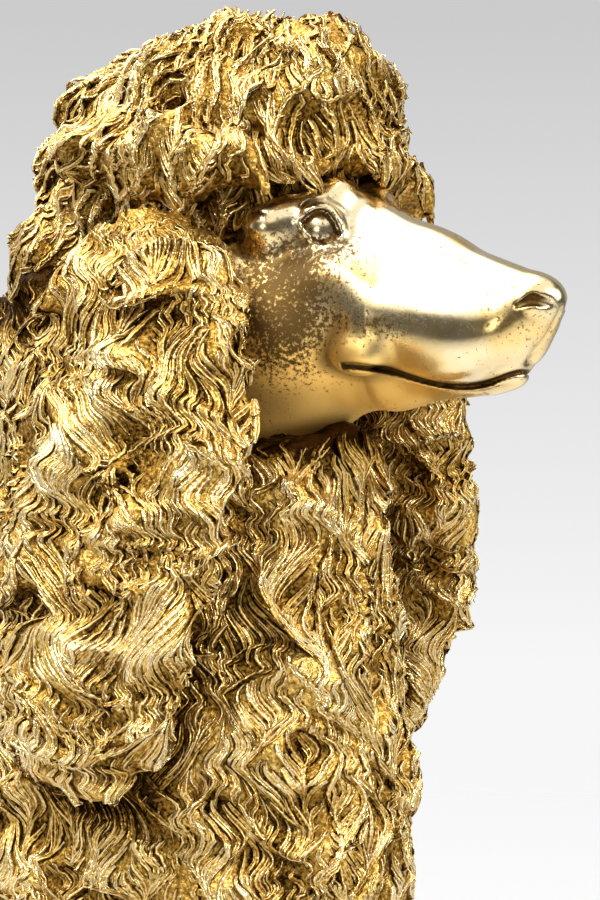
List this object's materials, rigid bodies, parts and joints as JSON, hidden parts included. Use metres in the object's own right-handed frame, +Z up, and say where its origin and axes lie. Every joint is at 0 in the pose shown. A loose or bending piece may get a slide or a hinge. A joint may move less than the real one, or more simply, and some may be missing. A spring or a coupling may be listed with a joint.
{
  "type": "ceramic dog figurine",
  "caption": "Seated poodle figurine of gilded ceramic with carved curly topknot, long ears, mane, leg cuffs and tail pompom on felt feet.",
  "frame": {"origin": "on the surface the figurine stands on, at the centre of its bounding box seen from above", "axes": "+Z up, -Y the way the dog faces, +X the dog's left"},
  "size_m": [0.1321, 0.226, 0.34],
  "materials": {
    "gilt_smooth": "burnished gold leaf over glaze, mottled patina",
    "gilt_fur": "gold leaf over carved curls, dark wax in the hollows",
    "bisque": "unglazed, matt",
    "bung_rubber": "matt black",
    "felt": "pressed felt",
    "dowel_wood": "sanded beech",
    "ballast": "cast plaster"
  },
  "bodies": {
    "figurine": {"ballast_block": "ballast", "base_pad": "felt", "base_plate": "bisque", "ear_dowels": "dowel_wood", "ear_left": "gilt_fur", "ear_right": "gilt_fur", "front_cuff_left": "gilt_fur", "front_cuff_right": "gilt_fur", "front_leg_left": "gilt_smooth", "front_leg_right": "gilt_smooth", "haunch_left": "gilt_smooth", "haunch_right": "gilt_smooth", "head_shell": "gilt_smooth", "hind_cuff_left": "gilt_fur", "hind_cuff_right": "gilt_fur", "hind_foot_left": "gilt_smooth", "hind_foot_right": "gilt_smooth", "leg_rods": "dowel_wood", "mane_shell": "gilt_fur", "neck_spigot": "bisque", "paw_pads": "felt", "rump_shell": "gilt_smooth", "tail_pompom": "gilt_fur", "tail_stem": "gilt_smooth", "topknot_cap": "gilt_fur"},
    "drain_bung": {"drain_bung": "bung_rubber"}
  },
  "joints": [
    {"name": "bung_pull", "type": "slide", "parent": "figurine", "child": "drain_bung", "axis": [0, 0, -1], "range_m": [0, 0.009]}
  ]
}
